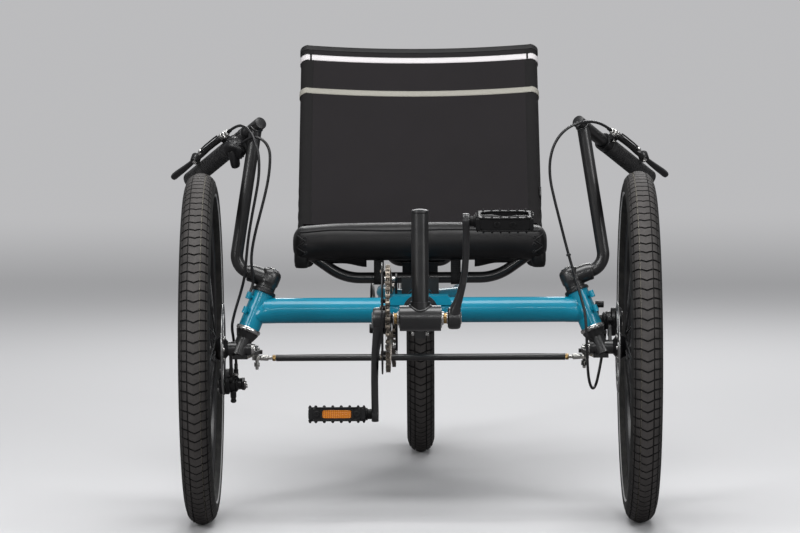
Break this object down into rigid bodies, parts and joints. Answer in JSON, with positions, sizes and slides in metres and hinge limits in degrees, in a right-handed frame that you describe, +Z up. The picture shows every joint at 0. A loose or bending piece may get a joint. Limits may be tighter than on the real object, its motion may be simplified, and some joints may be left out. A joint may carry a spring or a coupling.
{
  "type": "recumbent trike",
  "caption": "Tadpole recumbent trike with sling seat, side-bar steering linked by a tie rod, disc brakes in front and a chain to the rear wheel.",
  "frame": {"origin": "on the floor, at the middle of the overall length and width", "axes": "+Z up, the rider faces -Y, +X is the rider's left"},
  "size_m": [0.8924, 2.0204, 0.829],
  "materials": {
    "black_paint": "satin black",
    "bright_steel": "bright",
    "cable_black": "smooth",
    "chain_steel": "oiled",
    "frame_paint": "gloss metallic blue-green",
    "grip_rubber": "matte",
    "moulded_black": "moulded",
    "rotor_steel": "ground",
    "seat_mesh": "black woven mesh",
    "tyre_rubber": "dusty black rubber",
    "wheel_black": "anodised black"
  },
  "bodies": {
    "frame": {"main_frame": "frame_paint", "rear_fork": "frame_paint", "boom": "black_paint", "boom_clamp": "black_paint", "bracket_cups": "bright_steel", "headset_cups": "bright_steel", "chain": "chain_steel", "chain_idler": "moulded_black", "rear_derailleur": "moulded_black", "rear_axle": "bright_steel", "shift_cable_rear": "cable_black"},
    "knuckle_left": {"knuckle_left": "black_paint", "axle_left": "bright_steel", "stem_left": "black_paint", "handlebar_left": "black_paint", "grip_left": "grip_rubber", "brake_lever_left": "moulded_black", "caliper_left": "black_paint", "brake_cable_left": "cable_black"},
    "knuckle_right": {"knuckle_right": "black_paint", "axle_right": "bright_steel", "stem_right": "black_paint", "handlebar_right": "black_paint", "grip_right": "grip_rubber", "brake_lever_right": "moulded_black", "shifter": "moulded_black", "caliper_right": "black_paint", "brake_cable_right": "cable_black", "shift_cable_front": "cable_black"},
    "front_wheel_left": {"tyre_left": "tyre_rubber", "wheel_left": "wheel_black", "rotor_left": "rotor_steel"},
    "front_wheel_right": {"tyre_right": "tyre_rubber", "wheel_right": "wheel_black", "rotor_right": "rotor_steel"},
    "rear_wheel": {"tyre_rear": "tyre_rubber", "wheel_rear": "wheel_black", "cassette": "chain_steel"},
    "cranks": {"crank_arms": "black_paint", "chainring": "chain_steel"},
    "pedal_left": {"pedal_left": "moulded_black"},
    "pedal_right": {"pedal_right": "moulded_black"},
    "tie_rod": {"tie_rod": "black_paint", "rod_ends": "bright_steel"},
    "seat": {"seat_frame": "black_paint", "seat_clamps": "black_paint", "seat_sling": "seat_mesh"}
  },
  "joints": [
    {"name": "steering", "type": "hinge", "parent": "frame", "child": "knuckle_left", "pos_m": [0.316, -0.41825, 0.3085], "axis": [-0.3755, 0.1927, 0.9066], "range_deg": [-25, 25]},
    {"name": "steering_right", "type": "hinge", "parent": "frame", "child": "knuckle_right", "pos_m": [-0.316, -0.41825, 0.3085], "axis": [0.3755, 0.1927, 0.9066], "range_deg": [-25, 25]},
    {"name": "tie_rod_turn", "type": "hinge", "parent": "knuckle_left", "child": "tie_rod", "pos_m": [0.291, -0.32325, 0.283], "axis": [-0.3748, 0.0793, 0.9237], "range_deg": [-28, 28]},
    {"name": "front_left_spin", "type": "hinge", "parent": "knuckle_left", "child": "front_wheel_left", "pos_m": [0.384, -0.41825, 0.3085], "axis": [1, 0, 0], "continuous": true},
    {"name": "front_right_spin", "type": "hinge", "parent": "knuckle_right", "child": "front_wheel_right", "pos_m": [-0.384, -0.41825, 0.3085], "axis": [1, 0, 0], "continuous": true},
    {"name": "rear_spin", "type": "hinge", "parent": "frame", "child": "rear_wheel", "pos_m": [0, 0.70175, 0.3085], "axis": [1, 0, 0], "continuous": true},
    {"name": "crank_spin", "type": "hinge", "parent": "frame", "child": "cranks", "pos_m": [0, -0.91825, 0.402], "axis": [1, 0, 0], "continuous": true},
    {"name": "pedal_left_spin", "type": "hinge", "parent": "cranks", "child": "pedal_left", "pos_m": [0.138, -0.95256, 0.56339], "axis": [1, 0, 0], "continuous": true},
    {"name": "pedal_right_spin", "type": "hinge", "parent": "cranks", "child": "pedal_right", "pos_m": [-0.138, -0.88394, 0.24061], "axis": [1, 0, 0], "continuous": true},
    {"name": "seat_slide", "type": "slide", "parent": "frame", "child": "seat", "axis": [0, 1, 0], "range_m": [-0.03, 0.08]}
  ],
  "couplings": [
    {"joint": "steering_right", "follows": "steering", "ratio": 1},
    {"joint": "tie_rod_turn", "follows": "steering", "ratio": -1.0966}
  ]
}
